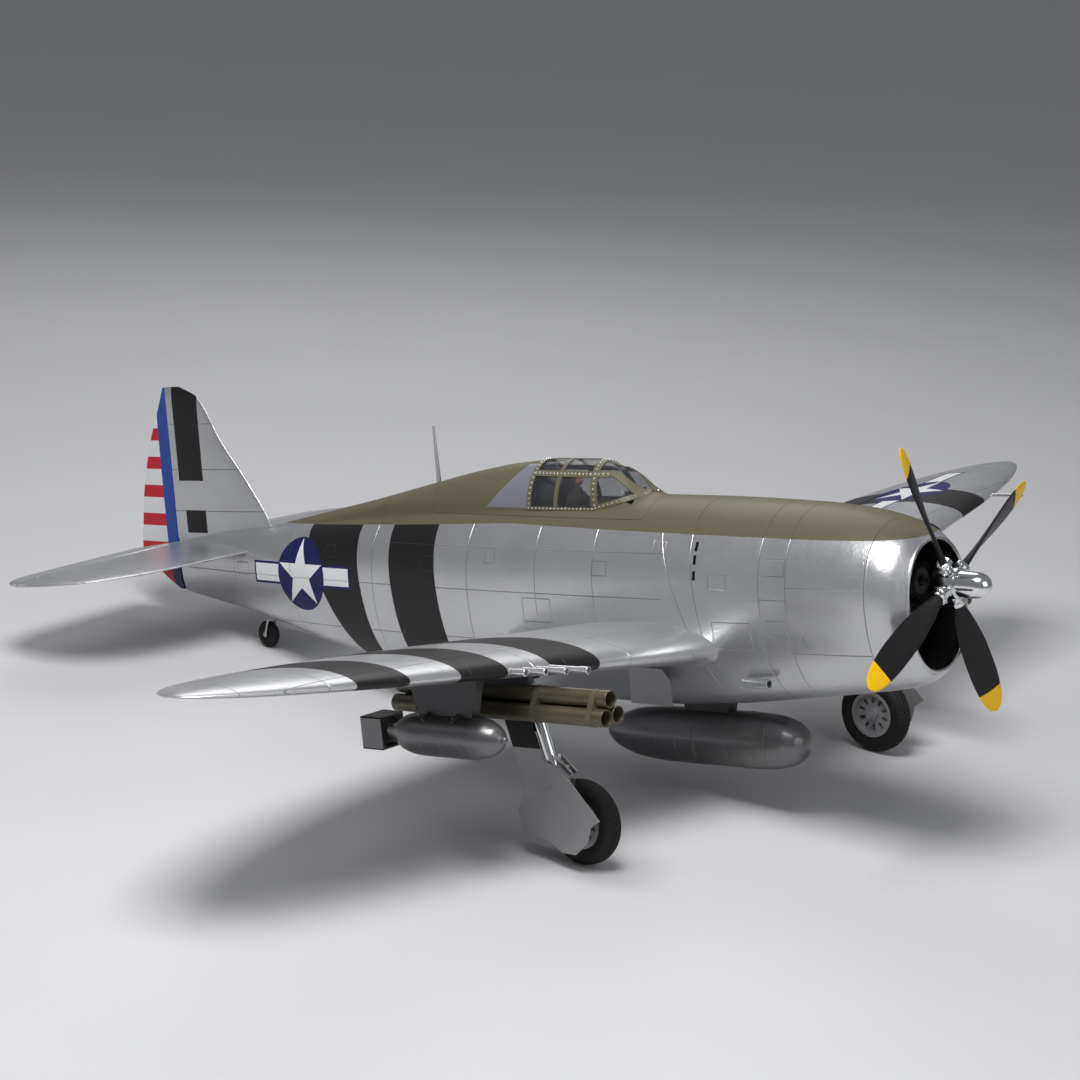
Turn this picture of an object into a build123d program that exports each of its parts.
from build123d import *
import os
from math import asin, atan2, copysign, cos, degrees, exp, pi, radians, sin, sqrt, tan

# Radio-controlled model of a razorback, radial-engined fighter with folding landing gear.
# It is drawn level, with x forward, y to port, z up and the origin at the propeller's centre.
# place() then stands it on its three wheels with the origin under the middle of its box.
# Millimetres and degrees.

# Wing
NOMINAL_SPAN = 1500.0
SPAN = 1500.0
WING_ROOT_Y = 46.0
ROOT_LEAD_X = -245.0
LEAD_SWEEP = 0.14
TIP_START_Y = 560.0
TIP_ROUND = 49.0
TRAIL_TIP_X = -399.0
TRAIL_DEPTH = 182.0
WING_Z = -81.0
DIHEDRAL = 0.125
ROOT_THICKNESS = 0.13
ROOT_SWELL = 0.035
SWELL_REACH = 55.0
TIP_THICKNESS = 0.10
CAMBER = 0.02
TRAILING_EDGE = 1.2
WING_STATIONS = (46, 85, 130, 200, 340, 450, 540, 610, 660, 700, 728, 743, 750)
AILERON_Y = (432.0, 678.0)
FLAP_Y = (96.0, 424.0)
FLAP_HINGE_X = (-507.0, -493.0)
AILERON_HINGE_X = (-493.0, -447.0)

# Fuselage: x, top, bottom, half width, height of the widest level
BODY = (
    (-196, 86, -135.5, 83, -12),
    (-290, 89, -146, 84, -12),
    (-395, 90, -152, 84, -14),
    (-500, 88, -152, 81.5, -16),
    (-600, 84, -148, 77.5, -18),
    (-700, 79, -140, 72, -19),
    (-800, 70, -129, 64.5, -18),
    (-900, 59, -112, 56, -15),
    (-1000, 44, -88.5, 44, -11),
    (-1080, 34, -70, 32, -8),
    (-1150, 29, -59, 20, -8),
    (-1208, 26, -49, 9, -8),
)
COWL = (
    (-18, 50, -98, 57, -18),
    (-33, 59.5, -110, 70, -16),
    (-56, 69, -116.5, 76.5, -14),
    (-100, 78.5, -123, 81, -13),
    (-156, 84, -130.5, 82.8, -12),
    (-196, 86, -135.5, 83, -12),
)
# Canopy and razorback spine: x, top, half width at the sill
SPINE = (
    (-386, 88, 22),
    (-404, 98, 35),
    (-434, 121, 39),
    (-471, 130.7, 40),
    (-523, 131, 40),
    (-588, 127, 39),
    (-662, 116, 37),
    (-731, 102, 34),
    (-835, 80, 27),
    (-940, 60, 18),
    (-1034, 42, 7),
)
SILL_Z = 77.0
SPINE_BASE_Z = 20.0
FIREWALL_X = -196.0
COWL_WALL = 2.5
LIP_WALL = 4.0
HATCH_X = (-712.0, -372.0)
HATCH_Z = 70.0
SEAM_GAP = 0.4
BAY_X = (-700.0, -216.0)
BAY_FLOOR_Z = -36.0
BAY_HALF = (26.0, 46.0)
BAY_ROOF_Z = 50.0
COCKPIT_X = (-556.0, -402.0)
COCKPIT_FLOOR_Z = 74.0
GLASS_X = (-560.0, -388.0)
GLASS_WALL = 1.5
FRAME_PROUD = 0.8

# Tail: height, leading edge, thickness; the rudder's are height, trailing edge, thickness
FIN = ((23, -1030, 15), (49, -1040, 14), (99, -1073, 11.5), (153, -1115, 9), (211, -1152, 6.5),
       (224, -1183, 4))
RUDDER = ((-46, -1224, 9), (-28, -1252, 13), (8, -1289, 16), (45, -1283, 14), (86, -1274, 12),
          (153, -1250, 9), (200, -1226, 7), (223, -1215, 4.5))
RUDDER_HINGE_X = -1210.0
RUDDER_SWING = 25.0
TAILPLANE = ((0, -1050, 17), (60, -1053, 16), (180, -1063, 13), (255, -1098, 9), (285, -1135, 6),
             (297, -1172, 4))
ELEVATOR = ((32, -1261, 15), (180, -1250, 12), (255, -1240, 9), (285, -1222, 6), (297, -1205, 4))
TAILPLANE_Z = 13.0
ELEVATOR_HINGE_X = -1192.0
ELEVATOR_ROOT_Y = 15.0
JOINER_R = 1.8
HINGE_GAP = 1.2
BEVEL = 30.0
FLAP_BEVEL = 46.0

# Power train, built along x and tipped nose-down
DOWN_THRUST = 2.5
PROP_RADIUS = 177.0
PROP_ANGLE = 27.65
BLADES = 4
BLADE = ((26, 13, 52, 9), (50, 21, 44, 6), (90, 31, 33, 4), (125, 33, 26, 3), (155, 28, 22, 2.4),
         (172, 18, 20, 1.8))
BLADE_ROOT_R = 5.0
DOME_X = 51.0
DOME_R = 14.0
HUB_BACK_X = -14.0
SHAFT_R = 4.0
RUN_FIT = 0.05
TAIL_AXLE_R = 1.5
TAIL_FIT = 0.08
BELL_X = (-132.0, -92.0)
BELL_R = 25.0
BELL_WALL = 2.5
MOUNT_FACE_X = -141.0
ENGINE_X = -84.0
CYLINDERS = 9

# Landing gear
PIVOT = Vector(-351.6, 295.0, -58.0)
RAKE = 15.4
LEG_LENGTH = 168.0
RETRACT_SWING = 78.0
LEG_R = 7.5
PISTON_R = 4.5
PIN_R = 3.0
TYRE_R = 47.0
TYRE_WIDTH = 26.0
WHEEL_OFFSET = 21.0
WHEEL_R = 28.0
HUB_WIDTH = 20.0
AXLE_R = 2.5
WELL_R = 51.0
WELL_SKIN = 2.5
OLEO_TRAVEL = 8.0
LUG_GAP = 0.5
LUG_SHEET = 4.5
LINK_ROOM_X = 42.0
DOOR_STEP = 2.0
DOOR_SHEET = 1.6
DOOR_OFFSET = 8.0
INNER_DOOR_X = (-390.0, -331.0)
INNER_DOOR_DEPTH = 42.0
INNER_DOOR_HINGE = (79.0, -94.5)
LINK_ARM = 24.0
LINK_SPAN = 40.0
LINK_TOP_Z = -92.0
LINK_STAND_X = 9.5
LINK_HALF = 4.2
TAIL_WHEEL = Vector(-1063.0, 0.0, -101.0)
TAIL_WHEEL_R = 18.0
TAIL_WHEEL_WIDTH = 9.0
STEER_X = -1055.0
STEER_TOP_Z = -54.0
STEER_R = 4.0
FORK_TOP_Z = -79.5

# Stores and fittings
BOMB = Vector(-300.0, 395.0, -103.0)
BOMB_R = 23.5
ROCKET = Vector(-205.0, 330.0, -68.0)
ROCKET_R = 9.5
ROCKET_LENGTH = 300.0
TANK = Vector(-206.0, 0.0, -190.0)
TANK_R = 32.5
TANK_LENGTH = 290.0
GUN_Y = (322.0, 340.0, 358.0, 376.0)
GUN_REACH = (52.0, 40.0, 30.0, 21.0)
GUN_R = 3.2
MAST_X = -731.5
MAST_TOP_Z = 171.0
SPAR_X = -425.0
SPAR_Z = -68.0
SPAR_R = 6.0
SPAR_HALF = 150.0
FAR = 400.0

nodes = {}


def box(xs, ys, zs):
    """A box between two limits on each axis."""
    size = (xs[1] - xs[0], ys[1] - ys[0], zs[1] - zs[0])
    middle = ((xs[0] + xs[1]) / 2, (ys[0] + ys[1]) / 2, (zs[0] + zs[1]) / 2)
    return Pos(*middle) * Box(*size)


def rod(start, end, radius, end_radius=None):
    """A cylinder or cone between two points."""
    start, end = Vector(*start), Vector(*end)
    frame = Plane(origin=(start + end) / 2, z_dir=end - start)
    length = (end - start).length
    if end_radius is None:
        return frame * Cylinder(radius, length)
    return frame * Cone(radius, end_radius, length)


def spun(points, origin=(0, 0, 0)):
    """A solid of revolution about a line along x; points are (x, radius)."""
    outline = Plane.XY * make_face(Polyline(*points, close=True))
    return Pos(*origin) * revolve(outline, Axis.X)


def plate(points, frame, thickness):
    """A flat plate: points in the frame's own x and y, thickness along its z."""
    return extrude(frame * make_face(Polyline(*points, close=True)), thickness)


def mirrored(shape):
    """The starboard twin of a port part."""
    return mirror(shape, about=Plane.XZ)


def both(shape):
    """A port part and its starboard twin."""
    return Compound(children=list(shape.solids()) + list(mirrored(shape).solids()))


def oval_wire(x, top, bottom, half, middle, inset=0.0):
    """Closed section across the fuselage: an upper and a lower arc that meet at the widest level."""
    width = half - inset
    edges = []
    for side, height, power in ((1, top - inset - middle, 2.15), (-1, middle - bottom - inset, 2.25)):
        points = []
        for step in range(9):
            angle = pi * step / 8
            across = width * side * copysign(abs(cos(angle)) ** (2 / power), cos(angle))
            points.append((x, across, middle + side * height * sin(angle) ** (2 / power)))
        ends = [Vector(0, 0, side), Vector(0, 0, -side)]
        edges.append(Edge.make_spline([Vector(*p) for p in points], tangents=ends))
    return Wire(edges)


def oval_loft(stations, inset=0.0):
    """The hull through a row of stations, shrunk by an inset."""
    return Solid.make_loft([oval_wire(*s, inset=inset) for s in stations], True)


def arch_wire(x, top, half, inset=0.0):
    """Section of the canopy and spine: upright sides to the sill and an arched top."""
    sill = min(SILL_Z, top - 12.0)
    width, height = half - inset, top - sill - inset
    points = []
    for step in range(9):
        angle = pi * step / 8
        across = width * copysign(abs(cos(angle)) ** (2 / 1.8), cos(angle))
        points.append(Vector(x, across, sill + height * sin(angle) ** (2 / 1.8)))
    arch = Edge.make_spline(points, tangents=[Vector(0, 0, 1), Vector(0, 0, -1)])
    low = (Vector(x, -width, SPINE_BASE_Z), Vector(x, width, SPINE_BASE_Z))
    sides = [Edge.make_line(points[-1], low[0]), Edge.make_line(*low), Edge.make_line(low[1], points[0])]
    return Wire([arch] + sides)


def spine_loft(inset=0.0):
    return Solid.make_loft([arch_wire(*s, inset=inset) for s in SPINE], True)


def wing_lead(y):
    tip = SPAN / 2
    share = max(0.0, (y - TIP_START_Y) / (tip + 1 - TIP_START_Y))
    return ROOT_LEAD_X - LEAD_SWEEP * y - TIP_ROUND * (1 - sqrt(1 - share**2))


def wing_trail(y):
    return TRAIL_TIP_X - TRAIL_DEPTH * sqrt(1 - (y / (SPAN / 2 + 1)) ** 2.4)


def camber_height(share):
    """Height of the mean line over the chord line, as a share of the chord."""
    if share < 0.4:
        return CAMBER / 0.16 * (0.8 * share - share**2)
    return CAMBER / 0.36 * (0.2 + 0.8 * share - share**2)


def wing_height(x, y):
    """Height of the wing's mean line under a point of the plan."""
    lead, trail = wing_lead(y), wing_trail(y)
    share = min(max((lead - x) / (lead - trail), 0.0), 1.0)
    return WING_Z + DIHEDRAL * y + (lead - trail) * camber_height(share)


def half_thickness(share, ratio):
    """Half the section's thickness over its chord."""
    root = 0.2969 * sqrt(share) - 0.1260 * share - 0.3516 * share**2 + 0.2843 * share**3 - 0.1015 * share**4
    return 5 * ratio * root


def wing_wire(y):
    """The wing's section at one distance from the middle, with a blunt trailing edge."""
    lead, trail = wing_lead(y), wing_trail(y)
    chord = lead - trail
    ratio = ROOT_THICKNESS + (TIP_THICKNESS - ROOT_THICKNESS) * y / (SPAN / 2)
    ratio += ROOT_SWELL * exp((WING_ROOT_Y - y) / SWELL_REACH)
    points = []
    for step in range(-9, 10):
        share = 1 - cos(pi / 2 * abs(step) / 9)
        rise = copysign(chord * half_thickness(share, ratio) + TRAILING_EDGE / 2 * share, -step)
        middle = WING_Z + DIHEDRAL * y + chord * camber_height(share)
        points.append(Vector(lead - chord * share, y, middle + rise))
    points[9] = Vector(lead, y, WING_Z + DIHEDRAL * y)
    return Wire([Edge.make_spline(points), Edge.make_line(points[-1], points[0])])


def wing_panel():
    grow = SPAN / NOMINAL_SPAN
    return Solid.make_loft([wing_wire(y * grow if y > WING_ROOT_Y else y) for y in WING_STATIONS], True)


def hinge_frame(start, end):
    """Frame at a hinge's inner end: z along the hinge, x aft and y up."""
    along = (end - start).normalized()
    aft = Vector(-1, 0, 0)
    aft = (aft - along * aft.dot(along)).normalized()
    return Plane(origin=start, x_dir=aft, z_dir=along)


def hinge_ends(ys, xs):
    """The two ends of a hinge line that lies on the wing's mean line."""
    return [Vector(x, y, wing_height(x, y)) for x, y in zip(xs, ys)]


def surface_cutters(start, end, upper_bevel, lower_bevel):
    """The wedge-nosed block of a hinged surface, and the larger bay that it works in."""
    length, tall, deep = (end - start).length, 30.0, 150.0
    frame = hinge_frame(start, end)
    nose = [(0, 0), (tall * tan(radians(upper_bevel)), tall), (deep, tall), (deep, -tall),
            (tall * tan(radians(lower_bevel)), -tall)]
    bay = [(-HINGE_GAP, tall), (deep, tall), (deep, -tall), (-HINGE_GAP, -tall)]
    block = plate(nose, frame.offset(HINGE_GAP), length - 2 * HINGE_GAP)
    return block, plate(bay, frame, length)


def fin_wire(height, lead, thickness):
    """Section of the fin, square at the rudder post."""
    chord = lead - (RUDDER_HINGE_X + HINGE_GAP)
    shares = ((1, 1), (0.45, 0.92), (0.1, 0.5), (0, 0), (0.1, -0.5), (0.45, -0.92), (1, -1))
    points = [Vector(lead - chord * s, thickness / 2 * w, height) for s, w in shares]
    return Wire([Edge.make_spline(points), Edge.make_line(points[-1], points[0])])


def tail_wire(y, lead, thickness):
    """Section of the tailplane, square at the elevator's hinge."""
    chord = lead - (ELEVATOR_HINGE_X + 2.5)
    shares = ((1, 1), (0.45, 0.92), (0.1, 0.5), (0, 0), (0.1, -0.5), (0.45, -0.92), (1, -1))
    points = [Vector(lead - chord * s, y, TAILPLANE_Z + thickness / 2 * w) for s, w in shares]
    return Wire([Edge.make_spline(points), Edge.make_line(points[-1], points[0])])


def wedge_shares(hinge, trail, thickness):
    """Corners of a hinged tail surface's section: distance along x and half thickness."""
    back = hinge - thickness / 2 * tan(radians(BEVEL))
    return ((hinge, 0), (back, thickness / 2), (trail, 0.7), (trail, -0.7), (back, -thickness / 2))


def gear_frame():
    """The port leg's own frame: z up the leg, x forward across it, y outboard."""
    rake = radians(RAKE)
    return Plane(origin=PIVOT, x_dir=(cos(rake), 0, sin(rake)), z_dir=(-sin(rake), 0, cos(rake)))


def retracted_frame():
    """Frame at the folded wheel's middle, its z up along the wheel's axle."""
    rake, swing = radians(RAKE), radians(RETRACT_SWING)
    down, inboard = Vector(sin(rake), 0, -cos(rake)), Vector(0, -1, 0)
    out = down * cos(swing) + inboard * sin(swing)
    up = inboard * cos(swing) - down * sin(swing)
    middle = PIVOT + out * LEG_LENGTH + up * WHEEL_OFFSET
    return Plane(origin=middle, x_dir=(cos(rake), 0, sin(rake)), z_dir=up)


def wheel_well(panel):
    """Round well for the folded wheel and the slot for its leg, kept below the wing's upper skin."""
    ceiling = TYRE_WIDTH / 2 + 2.0
    folded = retracted_frame()
    towards_pivot = (gear_frame().origin + folded.z_dir * WHEEL_OFFSET - folded.origin).normalized()
    well = folded.offset(ceiling - 35) * Cylinder(WELL_R, 70)
    well += Pos(*(towards_pivot * OLEO_TRAVEL)) * well
    well += box((PIVOT.X, PIVOT.X + LINK_ROOM_X), (PIVOT.Y - 130, PIVOT.Y - 76), (PIVOT.Z - 50, PIVOT.Z + 4))
    slot = box((PIVOT.X - 46, PIVOT.X + 18), (PIVOT.Y - 130, PIVOT.Y + 17), (PIVOT.Z - 50, PIVOT.Z + 11))
    rise = WING_Z + DIHEDRAL * FAR
    below = plate([(0, WING_Z), (FAR, rise), (FAR, -FAR), (0, -FAR)], Plane(
        origin=(-2 * FAR, 0, 0), x_dir=(0, 1, 0), z_dir=(1, 0, 0)), 2 * FAR)
    return (well + slot) & (Pos(0, 0, -WELL_SKIN) * panel + below)


def build_wings():
    """Wing panels with their bays, flaps and ailerons."""
    panel = wing_panel()
    aileron_line = hinge_ends(AILERON_Y, AILERON_HINGE_X)
    flap_line = hinge_ends(FLAP_Y, FLAP_HINGE_X)
    aileron_block, aileron_bay = surface_cutters(*aileron_line, BEVEL, BEVEL)
    flap_block, flap_bay = surface_cutters(*flap_line, 3.0, FLAP_BEVEL)
    servos = [box((-470, -436), (y - 9, y + 9), (wing_height(-450, y) - 30, wing_height(-450, y) - 3))
              for y in (250.0, 520.0)]
    body = panel - aileron_bay - flap_bay - wheel_well(panel)
    body -= rod((SPAR_X, 0, SPAR_Z), (SPAR_X, SPAR_HALF + 1, SPAR_Z), SPAR_R)
    cases = Compound(children=[(s & panel).solids()[0] for s in servos])
    for servo in servos:
        body -= servo
    nodes["wing_servos"] = both(cases)
    for name, part in (("wing", body), ("aileron", panel & aileron_block), ("flap", panel & flap_block)):
        nodes["left_" + name] = part
        nodes["right_" + name] = mirrored(part)
    nodes["spar_tube"] = rod((SPAR_X, -SPAR_HALF, SPAR_Z), (SPAR_X, SPAR_HALF, SPAR_Z), SPAR_R) - rod(
        (SPAR_X, -SPAR_HALF - 1, SPAR_Z), (SPAR_X, SPAR_HALF + 1, SPAR_Z), SPAR_R - 1.0)
    report_hinge("aileron_left", aileron_line[0], aileron_line[1] - aileron_line[0])
    report_hinge("flap_left", flap_line[0], flap_line[0] - flap_line[1])
    return panel


def build_tail():
    """Fin, rudder, tailplane, elevators and the rod that joins them."""
    nodes["fin"] = Solid.make_loft([fin_wire(*s) for s in FIN], True)
    rudder_wires = []
    for height, trail, thickness in RUDDER:
        corners = [(x, y, height) for x, y in wedge_shares(RUDDER_HINGE_X, trail, thickness)]
        rudder_wires.append(Wire.make_polygon(corners))
    joiner = rod((ELEVATOR_HINGE_X, -26, TAILPLANE_Z), (ELEVATOR_HINGE_X, 26, TAILPLANE_Z), JOINER_R)
    nodes["rudder"] = Solid.make_loft(rudder_wires, True)
    half = Solid.make_loft([tail_wire(*s) for s in TAILPLANE], True)
    nodes["tailplane"] = half + mirrored(half)
    wires = [wedge_shares(ELEVATOR_HINGE_X, ELEVATOR[0][1] + 0.1, ELEVATOR[0][2])]
    ys = [ELEVATOR_ROOT_Y] + [s[0] for s in ELEVATOR]
    wires += [wedge_shares(ELEVATOR_HINGE_X, s[1], s[2]) for s in ELEVATOR]
    outlines = [[(x, y, TAILPLANE_Z + z) for x, z in wire] for y, wire in zip(ys, wires)]
    loft = Solid.make_loft([Wire.make_polygon(outline) for outline in outlines],
                           True)
    reach = 9 + 94 * tan(radians(RUDDER_SWING + 3))
    swing = [(RUDDER_HINGE_X + 4, 0), (RUDDER_HINGE_X + 4, 9), (-1300, reach),
             (-1300, 0)]
    half = loft - plate(swing, Plane.XY.offset(-40), 80) - joiner
    nodes["elevators"] = both(half)
    nodes["elevator_joiner"] = joiner
    report_hinge("elevator", Vector(ELEVATOR_HINGE_X, 0, TAILPLANE_Z), Vector(0, 1, 0))
    report_hinge("rudder", Vector(RUDDER_HINGE_X, 0, 0), Vector(0, 0, 1))


def tilted(shape):
    """A part of the power train, tipped about the propeller's centre."""
    return Rot(0, DOWN_THRUST, 0) * shape


def build_power():
    """Propeller, hub, motor, its mount and the dummy engine."""
    blades, sockets = [], []
    for index in range(BLADES):
        angle = PROP_ANGLE + 360 / BLADES * index
        wires = []
        for radius, chord, pitch, thickness in BLADE:
            across = Vector(sin(radians(pitch)), -cos(radians(pitch)), 0)
            along = Vector(cos(radians(pitch)), sin(radians(pitch)), 0)
            shape = ((0.5, 0), (0.2, 0.5), (-0.25, 0.4), (-0.5, 0), (-0.25, -0.4), (0.2, -0.5))
            lift = Vector(0, 0, radius)
            wires.append(Wire.make_polygon([across * (chord * a) + along * (thickness * b) + lift
                                            for a, b in shape]))
        end = Wire.make_polygon([Vector(v.X * 0.45, v.Y * 0.45, PROP_RADIUS) for v in wires[-1].vertices()])
        blade = Solid.make_loft(wires + [end], True) + Pos(0, 0, 20) * Cylinder(BLADE_ROOT_R, 16)
        turn = Rot(angle - 90, 0, 0)
        blades.append(tilted(turn * blade).solids()[0])
        sockets.append(turn * (Pos(0, 0, 15) * Cylinder(8.0, 26)))
    dome = spun([(DOME_X, 0), (DOME_X - 1.5, 6), (DOME_X - 7, 11), (DOME_X - 16, DOME_R), (14, DOME_R),
                 (14, 17), (HUB_BACK_X, 17), (HUB_BACK_X, 0)])
    for socket in sockets:
        dome += socket
    hub = tilted(dome)
    for blade in blades:
        hub -= blade
    nodes["propeller_blades"] = Compound(children=blades)
    nodes["propeller_hub"] = hub
    inner = BELL_R - BELL_WALL
    bell = spun([(HUB_BACK_X, 0), (HUB_BACK_X, SHAFT_R), (BELL_X[1], SHAFT_R), (BELL_X[1], BELL_R - 3),
                 (BELL_X[1] - 3, BELL_R), (BELL_X[0], BELL_R), (BELL_X[0], inner), (BELL_X[1] - 4, inner),
                 (BELL_X[1] - 4, SHAFT_R), (MOUNT_FACE_X + 1, SHAFT_R), (MOUNT_FACE_X + 1, 0)])
    bore = SHAFT_R + RUN_FIT
    stator = spun([(MOUNT_FACE_X, bore), (MOUNT_FACE_X, 20), (MOUNT_FACE_X + 6, 20), (MOUNT_FACE_X + 6, 10),
                   (BELL_X[0] + 3, 10), (BELL_X[0] + 3, inner - 1), (BELL_X[1] - 8, inner - 1),
                   (BELL_X[1] - 8, bore)])
    nodes["motor_bell"] = tilted(bell)
    nodes["motor_stator"] = tilted(stator)
    mount = box((FIREWALL_X, MOUNT_FACE_X + 12), (-22, 22), (-22, 24))
    mount -= box((FIREWALL_X - 1, MOUNT_FACE_X - 3), (-19, 19), (-19, 21))
    mount -= tilted(box((MOUNT_FACE_X, 0), (-60, 60), (-60, 60)))
    mount -= tilted(rod((MOUNT_FACE_X - 10, 0, 0), (MOUNT_FACE_X + 2, 0, 0), SHAFT_R + 2))
    nodes["motor_mount"] = mount
    slab = box((ENGINE_X, ENGINE_X + 4), (-120, 120), (-150, 120))
    void = oval_loft(COWL[1:], COWL_WALL)
    gearcase = spun([(ENGINE_X + 2, 0), (ENGINE_X + 2, 26), (-58, 22), (-36, 14), (-36, 0)])
    engine = (slab & void) + tilted(gearcase)
    for index in range(CYLINDERS):
        angle = 360 / CYLINDERS * index
        cylinder = Pos(-68, 0, 35) * Cylinder(8.0, 34)
        for fin_z in (30, 36, 42, 48):
            cylinder += Pos(-68, 0, fin_z) * Cylinder(9.5, 2.5)
        engine += Rot(angle, 0, 0) * cylinder
    nodes["dummy_engine"] = engine - tilted(rod((-100, 0, 0), (0, 0, 0), SHAFT_R + 2))
    report_hinge("prop", Vector(0, 0, 0), Vector(cos(radians(DOWN_THRUST)), 0, -sin(radians(DOWN_THRUST))))


def build_cowl():
    """Front ring with its mouth, and the cowl shell behind it."""
    ring = oval_loft(COWL[:3]) - oval_loft(((-10,) + COWL[0][1:],) + COWL[:3], LIP_WALL)
    nodes["cowl_ring"] = ring
    nodes["cowl_shell"] = oval_loft(COWL[2:]) - oval_loft(COWL[1:], COWL_WALL) - box(
        (FIREWALL_X - 50, FIREWALL_X), (-100, 100), (-200, 200))


def build_fuselage(panel):
    """Fuselage with its bay, and the lift-off hatch that carries the cockpit."""
    body, spine = oval_loft(BODY), spine_loft()
    outer = body + spine
    bay = Solid.make_loft([Wire.make_polygon([(x, -w, BAY_FLOOR_Z), (x, w, BAY_FLOOR_Z), (x, w, HATCH_Z),
                                              (x, -w, HATCH_Z)]) for x, w in zip(BAY_X, BAY_HALF)], True)
    lid = box(HATCH_X, (-FAR, FAR), (HATCH_Z, FAR))
    bay -= box((HATCH_X[1] + SEAM_GAP, 0), (-FAR, FAR), (BAY_ROOF_Z, FAR))
    well = wheel_well(panel)
    shell = outer - lid - bay - panel - mirrored(panel) - well - mirrored(well)
    shell -= rod((SPAR_X, -90, SPAR_Z), (SPAR_X, 90, SPAR_Z), SPAR_R)
    shell -= nodes["tailplane"]
    shell -= nodes["fin"]
    joiner_ends = [(ELEVATOR_HINGE_X, y, TAILPLANE_Z) for y in (-40, 40)]
    shell -= rod(*joiner_ends, JOINER_R + RUN_FIT)
    mast = rod((MAST_X, 0, 96), (MAST_X, 0, MAST_TOP_Z), 3.2, 1.4)
    nodes["antenna_mast"] = mast
    pipe = rod((-198, 71, -106), (-232, 71, -106), 5.5)
    outlet = pipe - rod((-197, 71, -106), (-220, 71, -106), 4.3)
    nodes["outlet_pipes"] = both(outlet)
    strut = rod((STEER_X, 0, FORK_TOP_Z), (STEER_X, 0, STEER_TOP_Z + 4), STEER_R + RUN_FIT)
    nodes["fuselage_shell"] = shell - mast - pipe - mirrored(pipe) - strut
    gap = SEAM_GAP
    hatch = outer & box((HATCH_X[0] + gap, HATCH_X[1] - gap), (-FAR, FAR), (HATCH_Z, FAR))
    window = box(GLASS_X, (-FAR, FAR), (SILL_Z, FAR))
    hatch -= window
    hatch -= box(COCKPIT_X, (-33, 33), (COCKPIT_FLOOR_Z, FAR))
    nodes["hatch_shell"] = hatch
    inner = spine_loft(GLASS_WALL)
    glass = (spine & window) - inner
    nodes["canopy_glass"] = glass - body
    skin = spine_loft(-FRAME_PROUD) - spine
    bows = [box((x - 3, x + 3), (-60, 60), (SILL_Z + 8, FAR)) for x in (-550, -508, -454)]
    bows.append(box((-556, -400), (-60, 60), (SILL_Z + 2, SILL_Z + 8)))
    bows.append(box((-454, -388), (-2.5, 2.5), (100, FAR)))
    frame = bows[0]
    for bow in bows[1:]:
        frame += bow
    nodes["canopy_frame"] = (skin & frame) - body
    build_cockpit()
    tray = BAY_FLOOR_Z
    nodes["battery_pack"] = box((-455, -305), (-23, 23), (tray, tray + 44))
    nodes["speed_controller"] = box((-292, -222), (-18, 18), (tray, tray + 18))
    nodes["receiver"] = box((-515, -468), (-14, 14), (tray, tray + 14))
    nodes["tail_servos"] = both(box((-590, -560), (8, 22), (tray, tray + 28)))


def build_cockpit():
    """Floor with instrument panel and seat back, and the pilot's bust."""
    floor = COCKPIT_FLOOR_Z
    tub = box(COCKPIT_X, (-33, 33), (floor, floor + 2))
    tub += box((-424, -420), (-18, 18), (floor, floor + 22))
    tub += box((-541, -537), (-13, 13), (floor, floor + 34))
    nodes["cockpit_floor"] = tub
    top = floor + 2
    torso = Pos(-512, 0, top + 9) * Box(16, 34, 18)
    torso = fillet(torso.edges().filter_by(Axis.X), 5)
    neck = rod((-510, 0, top + 16), (-510, 0, top + 24), 4.5)
    head = Pos(-509, 0, top + 31) * Sphere(8.5)
    brim = rod((-505, 0, top + 31), (-499.5, 0, top + 31), 3.4)
    nodes["pilot_figure"] = torso + neck + head + brim


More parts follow.
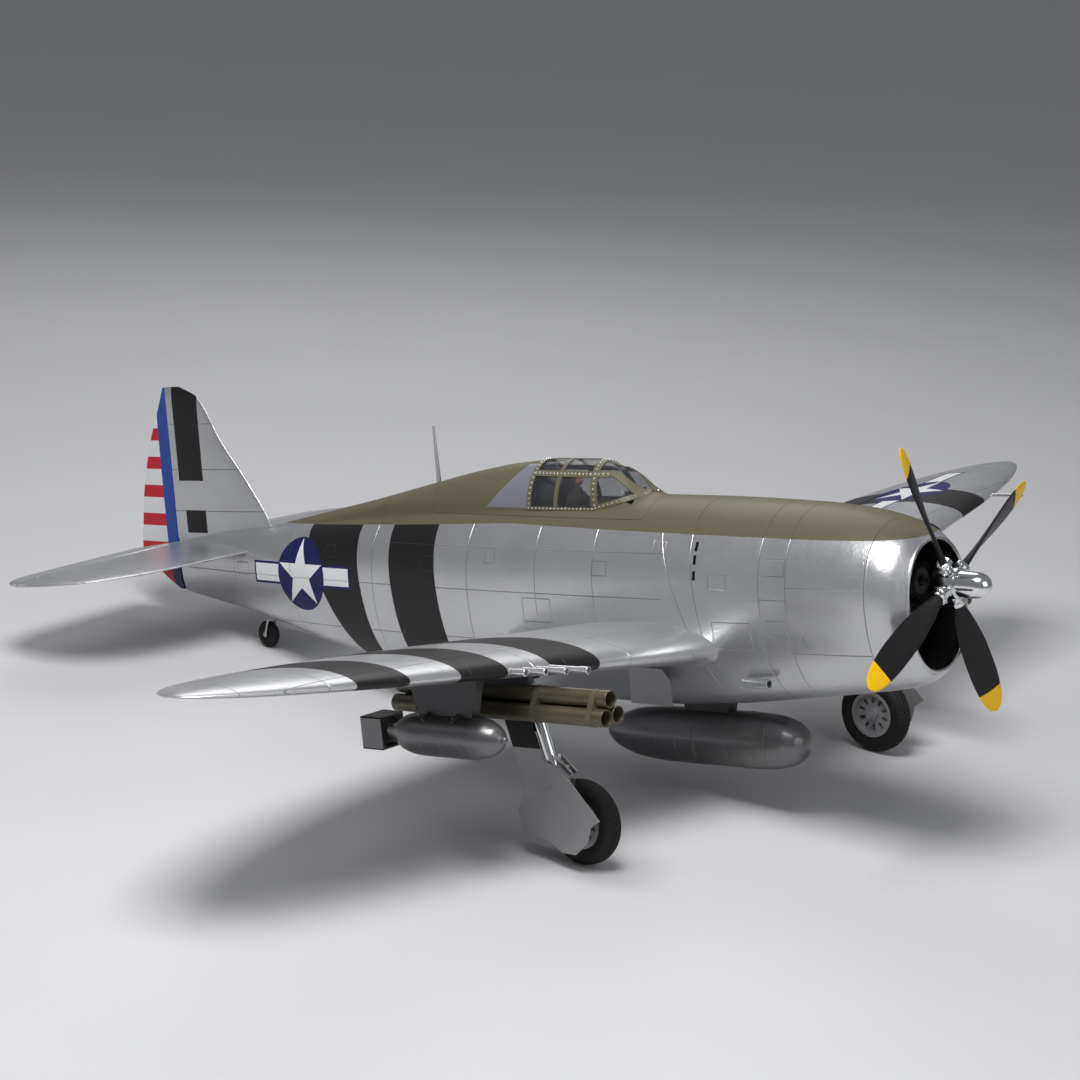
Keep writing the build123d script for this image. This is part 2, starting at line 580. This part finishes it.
def build_gear():
    """Both main legs, their wheels, doors, links and retract units, built port side and mirrored."""
    frame = gear_frame()
    eye = Rot(0, 90, 0) * Cylinder(LEG_R, 12)
    bore = Rot(0, 90, 0) * Cylinder(PIN_R + RUN_FIT, 20)
    top = LEG_R + 0.5
    upper = eye + Pos(0, 0, -53) * Cylinder(LEG_R, 94)
    lug_high = Pos(LEG_R + 2, 0, LINK_TOP_Z) * Box(7, 5, 5)
    upper = upper + lug_high - Pos(0, 0, -76) * Cylinder(PISTON_R + RUN_FIT, 60) - bore
    pin_hole = rod((LINK_STAND_X + 1, -9, LINK_TOP_Z), (LINK_STAND_X + 1, 9, LINK_TOP_Z), 1.0 + RUN_FIT)
    upper -= pin_hole
    low_z = LINK_TOP_Z - LINK_SPAN
    axle_z = -LEG_LENGTH
    lower = Pos(0, 0, -(56 + LEG_LENGTH) / 2) * Cylinder(PISTON_R, LEG_LENGTH - 56)
    lower += Pos(0, 0, axle_z + 22) * Cylinder(6.0, 52)
    lower += rod((0, 6, axle_z), (0, -9.5, axle_z), 6.5)
    hub_end = -WHEEL_OFFSET - HUB_WIDTH / 2 - 1.5
    lower += rod((0, -6, axle_z), (0, hub_end - 1.5, axle_z), AXLE_R)
    lower += rod((0, hub_end, axle_z), (0, hub_end - 2.5, axle_z), 4.0)
    lower += Pos(LEG_R + 1, 0, low_z) * Box(9, 5, 5)
    lower += box((-9, 5), (5, DOOR_OFFSET + DOOR_STEP), (-158, -138))
    lower -= rod((LINK_STAND_X + 1, -9, low_z), (LINK_STAND_X + 1, 9, low_z), 1.0 + RUN_FIT)
    upright = Plane(origin=(0, DOOR_OFFSET + DOOR_SHEET, 0), x_dir=(1, 0, 0), z_dir=(0, -1, 0))
    leg_door = plate([(-40, -16), (-3, -16), (-3, -119), (-40, -114)], upright, DOOR_SHEET)
    leg_door += box((-20, -4), (4, DOOR_OFFSET), (-60, -30)) - Pos(0, 0, -53) * Cylinder(LEG_R, 94)
    cover_frame = upright.offset(-DOOR_STEP)
    cover = plate([(-1, -92), (18, -104), (51, -170), (36, -174), (24, -190), (4, -198), (-14, -192),
                   (-26, -178), (-60, -161), (-58, -136), (-44, -122), (-1, -126)], cover_frame, DOOR_SHEET)
    angle = degrees(asin(sqrt(LINK_ARM**2 - (LINK_SPAN / 2) ** 2) / LINK_ARM))
    knee = LINK_ARM * sin(radians(angle))
    stand = LINK_STAND_X + 1
    arm_end = Vector(stand + knee, 0, LINK_TOP_Z - LINK_SPAN / 2)
    high = Vector(stand, 0, LINK_TOP_Z)
    low = Vector(stand, 0, low_z)
    towards = (arm_end - high).normalized()
    blade = Plane(origin=(high + arm_end) / 2, x_dir=(0, 1, 0), z_dir=towards)
    prong = Box(2, 5, LINK_ARM + 4)
    cheek = blade * (Pos(LINK_HALF, 0, 0) * prong) + blade * (Pos(-LINK_HALF, 0, 0) * prong)
    cheek += rod(high + Vector(0, -5, 0), high + Vector(0, 5, 0), 1.0)
    cheek += blade * (Pos(0, 0, 4) * Box(7, 2, 4))
    rising = (arm_end - low).normalized()
    blade = Plane(origin=low + rising * (LINK_ARM / 2 - 2.5), x_dir=(0, 1, 0), z_dir=rising)
    prong = Box(2, 5, LINK_ARM - 9)
    fork = blade * (Pos(LINK_HALF, 0, -1.5) * prong) + blade * (Pos(-LINK_HALF, 0, -1.5) * prong)
    fork += blade * (Pos(0, 0, 3.5) * Box(7, 3, 4))
    fork += rod(low + Vector(0, -5, 0), low + Vector(0, 5, 0), 1.0)
    middle = -WHEEL_OFFSET
    tyre = tyre_ring(TYRE_R, TYRE_WIDTH, WHEEL_R, middle, axle_z)
    hub = wheel_disc(WHEEL_R, HUB_WIDTH, AXLE_R + RUN_FIT, 10, middle, axle_z)
    unit_width = 2 * (LEG_R + LUG_GAP + LUG_SHEET)
    pin = Rot(0, 90, 0) * Cylinder(PIN_R, unit_width)
    lug_x = LEG_R + LUG_GAP + LUG_SHEET / 2
    lugs = Pos(lug_x, 0, 1) * Box(LUG_SHEET, 14, 14) + Pos(-lug_x, 0, 1) * Box(LUG_SHEET, 14, 14)
    unit = lugs + Pos(0, 2, 10) * Box(unit_width, 20, 3.5) + pin
    unit += Pos(0, 11.5, 3) * Box(unit_width, 4, 16)
    for name, part in (("leg_upper", upper), ("leg_lower", lower), ("leg_door", leg_door), ("wheel_door", cover),
                       ("upper_link", cheek), ("lower_link", fork), ("tyre", tyre), ("wheel_hub", hub)):
        placed = frame * part
        nodes["left_" + name] = placed
        nodes["right_" + name] = mirrored(placed)
    nodes["retract_units"] = both(frame * unit)
    nodes["left_wing"] -= frame * unit
    nodes["right_wing"] -= mirrored(frame * unit)
    hinge_y, hinge_z = INNER_DOOR_HINGE
    front, back = INNER_DOOR_X[1], INNER_DOOR_X[0]
    low_z = hinge_z - INNER_DOOR_DEPTH
    outline = [(back, hinge_z), (front - 12, hinge_z), (front, hinge_z - 14), (front, low_z), (back, low_z)]
    hung = Plane(origin=(0, hinge_y + DOOR_SHEET / 2, 0), x_dir=(1, 0, 0), z_dir=(0, -1, 0))
    door = plate(outline, hung, DOOR_SHEET)
    nodes["left_inner_door"] = door
    nodes["right_inner_door"] = mirrored(door)
    down = frame.z_dir * -1
    report_hinge("retract_left", PIVOT, frame.x_dir)
    report_hinge("oleo_left", PIVOT, frame.z_dir)
    report_hinge("upper_link_left", place_in(frame, high), Vector(0, 1, 0))
    report_hinge("lower_link_left", place_in(frame, low), Vector(0, 1, 0))
    report_hinge("wheel_left", PIVOT + down * LEG_LENGTH + Vector(0, -WHEEL_OFFSET, 0), Vector(0, 1, 0))
    report_hinge("inner_door_left", Vector(front, hinge_y, hinge_z), Vector(1, 0, 0))
    report_hinge("folded_wheel", retracted_frame().origin, Vector(1, 0, 0))


def place_in(frame, point):
    return frame.from_local_coords(point)


def tyre_ring(radius, width, inner, middle, height):
    """A round-shouldered tyre about an axle along y."""
    half, crown = width / 2, radius - width * 0.28
    outline = make_face(Polyline((inner, -half * 0.8), (crown - 6, -half), (crown, -half * 0.96),
                                 (radius - 2, -half * 0.55), (radius, 0), (radius - 2, half * 0.55),
                                 (crown, half * 0.96), (crown - 6, half), (inner, half * 0.8), close=True))
    return Pos(0, middle, height) * (Rot(-90, 0, 0) * revolve(Plane.XZ * outline, Axis.Z))


def wheel_disc(radius, width, bore, slots, middle, height):
    """A dished wheel with a ring of slots about an axle along y."""
    disc = Cylinder(radius, width)
    for side in (1, -1):
        disc -= Pos(0, 0, side * width / 2) * Cylinder(radius - 4, width * 0.5)
    disc += Cylinder(7, width)
    for index in range(slots):
        disc -= Rot(0, 0, 360 / slots * index) * (Pos(radius * 0.6, 0, 0) * Box(radius * 0.28, 4, width))
    disc -= Cylinder(bore, width + 2)
    return Pos(0, middle, height) * (Rot(-90, 0, 0) * disc)


def build_tail_wheel():
    """Steered strut with its fork, and the tail wheel."""
    x, z = TAIL_WHEEL.X, TAIL_WHEEL.Z
    strut = rod((STEER_X, 0, STEER_TOP_Z + 2), (STEER_X, 0, FORK_TOP_Z), STEER_R)
    side = TAIL_WHEEL_WIDTH / 2 + 1.2
    strut += box((STEER_X - 5, STEER_X + 5), (-side - 2, side + 2), (FORK_TOP_Z - 3, FORK_TOP_Z))
    for y in (side + 1, -side - 1):
        strut += rod((STEER_X, y, FORK_TOP_Z - 2), (x, y, z), 1.6)
        strut += rod((x, y - 1, z), (x, y + 1, z), 3.2)
    strut += rod((x, -side - 1, z), (x, side + 1, z), TAIL_AXLE_R)
    disc = wheel_disc(10, TAIL_WHEEL_WIDTH - 1, TAIL_AXLE_R + TAIL_FIT, 0, 0, z)
    tyre = tyre_ring(TAIL_WHEEL_R, TAIL_WHEEL_WIDTH, 10, 0, z)
    nodes["tail_strut"] = strut
    nodes["tail_wheel"] = Pos(x, 0, 0) * Compound(children=list(disc.solids()) + list(tyre.solids()))
    report_hinge("tail_steer", Vector(STEER_X, 0, z), Vector(0, 0, 1))
    report_hinge("tail_wheel", TAIL_WHEEL, Vector(0, 1, 0))


def build_stores(panel):
    """Bombs, rocket tubes, drop tank, their mounts, guns and the pitot tube."""
    nose, radius = BOMB, BOMB_R
    bomb = spun([(0, 0), (-2, 5), (-12, 15), (-30, 22), (-48, radius), (-95, radius), (-125, 15), (-142, 9),
                 (-160, 6), (-160, 0)], nose)
    tail_z = nose.Z
    fins = box((nose.X - 190, nose.X - 160), (nose.Y - 20, nose.Y + 20), (tail_z - 20, tail_z + 20))
    fins -= box((nose.X - 191, nose.X - 159), (nose.Y - 18.6, nose.Y + 18.6), (tail_z - 18.6, tail_z + 18.6))
    web = Pos(nose.X - 162, nose.Y, tail_z) * (Rot(45, 0, 0) * (Box(40, 50, 1.4) + Box(40, 1.4, 50)))
    bomb = bomb + fins + web
    nodes["wing_bombs"] = both(bomb)
    tubes = []
    drop = ROCKET_R * 1.9
    places = ((0, 0), (-ROCKET_R - 0.2, -drop), (ROCKET_R + 0.2, -drop))
    for across, down in places:
        start = ROCKET + Vector(0, across, down)
        tube = rod(start, start - Vector(ROCKET_LENGTH, 0, 0), ROCKET_R)
        tubes.append(tube - rod(start + Vector(1, 0, 0), start - Vector(90, 0, 0), ROCKET_R - 1.5))
    bands = []
    for x in (-222, -300, -470):
        band = box((x - 3, x + 3), (ROCKET.Y - 21, ROCKET.Y + 21), (ROCKET.Z - drop - 11, ROCKET.Z + 11))
        for across, down in places:
            start = ROCKET + Vector(0, across, down)
            band -= rod((x - 5, start.Y, start.Z), (x + 5, start.Y, start.Z), ROCKET_R)
        bands.append(band)
    hanger = box((-440, -310), (ROCKET.Y - 4, ROCKET.Y + 4), (ROCKET.Z, WING_Z + 60)) - panel
    solids = []
    for tube in tubes:
        hanger -= tube
        solids += list(tube.solids())
    solids += [s for band in bands for s in (band - panel - hanger).solids()]
    nodes["rocket_tubes"] = both(Compound(children=solids))
    tank_line = [(0, 0), (-1.5, 6), (-12, 18), (-40, 28), (-80, TANK_R), (-205, TANK_R), (-250, 26), (-280, 13),
                 (-TANK_LENGTH, 0)]
    nodes["drop_tank"] = spun(tank_line, TANK)
    pylon = box((nose.X - 118, nose.X - 28), (nose.Y - 5, nose.Y + 5), (nose.Z + 10, -30)) - panel - bomb
    crown = nose.Z + radius
    braces = box((nose.X - 60, nose.X - 52), (nose.Y - 16, nose.Y + 16), (crown - 10, crown + 4))
    braces += Pos(-40, 0, 0) * braces
    pylon = (pylon + braces - bomb).solids().sort_by(SortBy.VOLUME)[-1]
    keel = box((-372, -308), (-7, 7), (TANK.Z + 10, -140)) - oval_loft(BODY) - nodes["drop_tank"]
    keel = keel.solids().sort_by(SortBy.VOLUME)[-1]
    hanger = hanger.solids().sort_by(SortBy.VOLUME)[-1]
    ends = list(both(pylon).solids()) + list(both(hanger).solids()) + [keel]
    nodes["store_pylons"] = Compound(children=ends)
    guns = []
    for y, reach in zip(GUN_Y, GUN_REACH):
        lead = wing_lead(y)
        z = wing_height(lead, y)
        guns.append(rod((lead - 18, y, z), (lead + reach, y, z), GUN_R) - rod(
            (lead + reach - 15, y, z), (lead + reach + 1, y, z), GUN_R - 1.2))
    nodes["gun_barrels"] = both(Compound(children=[s for g in guns for s in g.solids()]))
    y = 600.0
    z = wing_height(wing_lead(y), y)
    nodes["pitot_tube"] = rod((wing_lead(y) - 15, y, z), (wing_lead(y) + 45, y, z), 2.2, 1.6)
    for side in ("left_", "right_"):
        for gun in nodes["gun_barrels"].solids():
            if (gun.center().Y > 0) == (side == "left_"):
                nodes[side + "wing"] -= gun
    nodes["left_wing"] -= nodes["pitot_tube"]


hinges = []


def report_hinge(name, point, direction):
    hinges.append((name, Vector(point.X, point.Y, point.Z), Vector(direction.X, direction.Y, direction.Z)))


def ground_angle():
    """Angle that brings the main and tail wheels to one floor."""
    main = gear_frame().z_dir * -LEG_LENGTH + PIVOT
    dx, dz = main.X - TAIL_WHEEL.X, TAIL_WHEEL.Z - main.Z
    return degrees(atan2(dz, dx) + asin((TYRE_R - TAIL_WHEEL_R) / sqrt(dx**2 + dz**2)))


def place():
    """Pitches every node to its ground stance, moves the origin and writes the files."""
    pitch = ground_angle()
    turn = Rot(0, -pitch, 0)
    turned = {name: turn * shape for name, shape in nodes.items()}
    boxes = [shape.bounding_box() for shape in turned.values()]
    low = [min(getattr(b.min, a) for b in boxes) for a in "XYZ"]
    high = [max(getattr(b.max, a) for b in boxes) for a in "XYZ"]
    shift = Vector(-(low[0] + high[0]) / 2, 0, -low[2])
    os.makedirs("parts", exist_ok=True)
    for name, shape in turned.items():
        placed = Pos(shift.X, shift.Y, shift.Z) * shape
        export_step(Compound(children=list(placed.solids())), "parts/" + name + ".step")
    print("size", [round(h - l, 2) for l, h in zip(low, high)])
    print("pitch", round(pitch, 5), "shift", round(shift.X, 4), round(shift.Z, 4))
    for name, point, direction in hinges:
        point = Vector(*point).rotate(Axis.Y, -pitch) + shift
        direction = Vector(*direction).normalized().rotate(Axis.Y, -pitch)
        print("hinge", name, *[round(v, 4) for v in point], *[round(v, 6) for v in direction])


wing = build_wings()
build_tail()
build_power()
build_cowl()
build_gear()
build_tail_wheel()
build_stores(wing)
build_fuselage(wing)
place()
